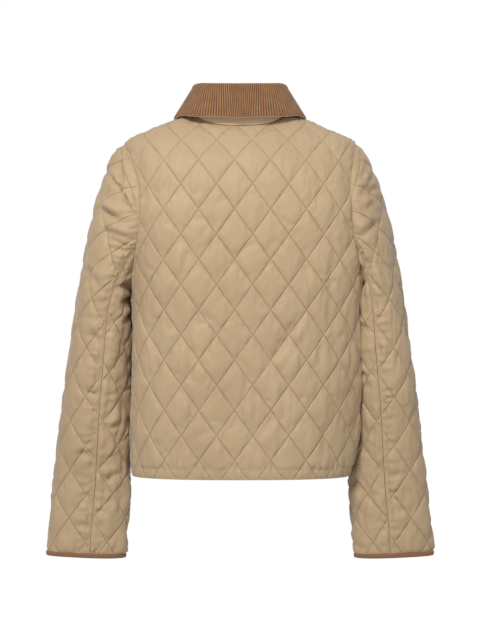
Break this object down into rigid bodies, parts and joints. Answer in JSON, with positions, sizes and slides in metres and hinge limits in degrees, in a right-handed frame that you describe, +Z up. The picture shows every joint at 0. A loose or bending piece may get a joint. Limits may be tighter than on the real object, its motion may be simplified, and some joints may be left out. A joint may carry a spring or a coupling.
{
  "type": "quilted jacket",
  "caption": "Short hollow jacket of diamond-quilted cloth with a corduroy collar and corduroy-bound cuffs, in its worn shape.",
  "frame": {"origin": "middle of the neck base, where the wearer's neck and shoulders hold the jacket", "axes": "+Z up, +X to the wearer's right, +Y the way the wearer faces, so the back of the jacket faces -Y"},
  "size_m": [0.606, 0.2338, 0.7334],
  "materials": {
    "shell": "khaki nylon with a soft sheen",
    "corduroy": "tan cotton corduroy",
    "stud": "dull antique brass"
  },
  "bodies": {
    "root": {"back": "shell", "front_left": "shell", "front_right": "shell", "topsleeve_left": "shell", "topsleeve_right": "shell", "undersleeve_left": "shell", "undersleeve_right": "shell", "collar_top": "corduroy", "collar_under": "shell", "cuff_binding_left": "corduroy", "cuff_binding_right": "corduroy", "stud_1": "stud", "stud_2": "stud", "stud_3": "stud", "stud_4": "stud", "stud_5": "stud"}
  },
  "joints": []
}
